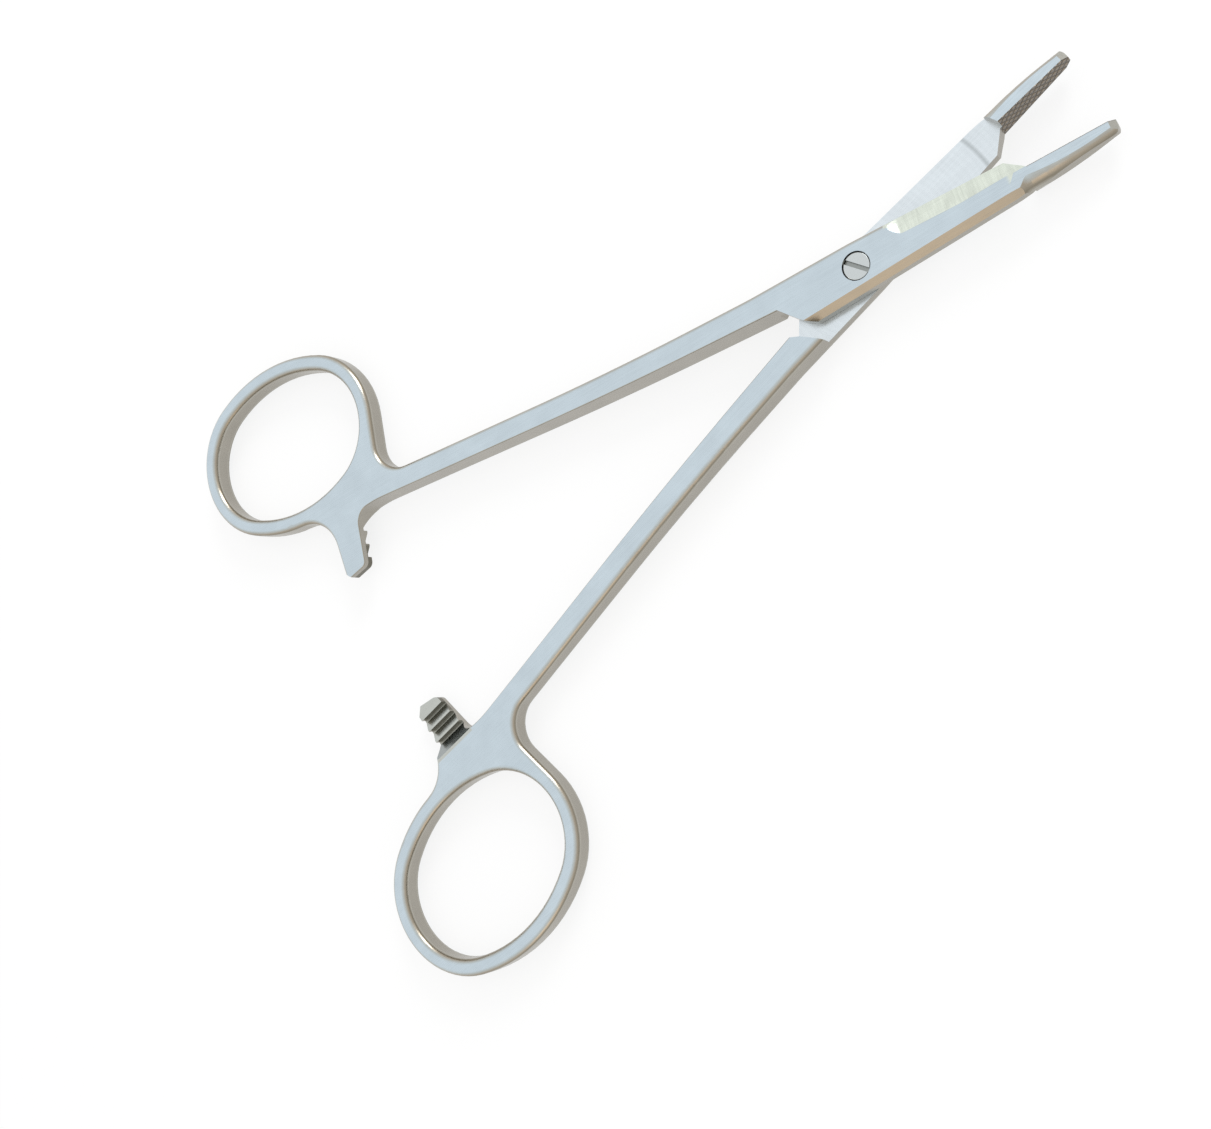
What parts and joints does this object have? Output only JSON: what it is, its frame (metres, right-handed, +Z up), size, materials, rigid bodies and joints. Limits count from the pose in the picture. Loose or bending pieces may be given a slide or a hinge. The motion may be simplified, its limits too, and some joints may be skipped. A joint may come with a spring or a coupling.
{
  "type": "needle holder",
  "caption": "Surgical needle holder with scissor blades behind the jaws, finger rings and a ratchet, hinged on a slotted joint screw.",
  "frame": {"origin": "pivot axis at the underside of the joint, where the instrument lies on a table", "axes": "+Z up along the pivot axis, +X from the pivot to the jaws along the line halfway between them, +Y towards the upper half's finger ring"},
  "size_m": [0.1345, 0.0966, 0.0044],
  "materials": {
    "forged_steel": "satin ground stainless steel, polished on the rings",
    "screw_steel": "turned and faced stainless steel"
  },
  "bodies": {
    "lower": {"lower_half": "forged_steel", "pivot_screw": "screw_steel"},
    "upper": {"upper_half": "forged_steel"}
  },
  "joints": [
    {"name": "pivot", "type": "hinge", "parent": "lower", "child": "upper", "pos_m": [0, 0, 0.0022], "axis": [0, 0, -1], "range_deg": [-16.8, 43.2]}
  ]
}
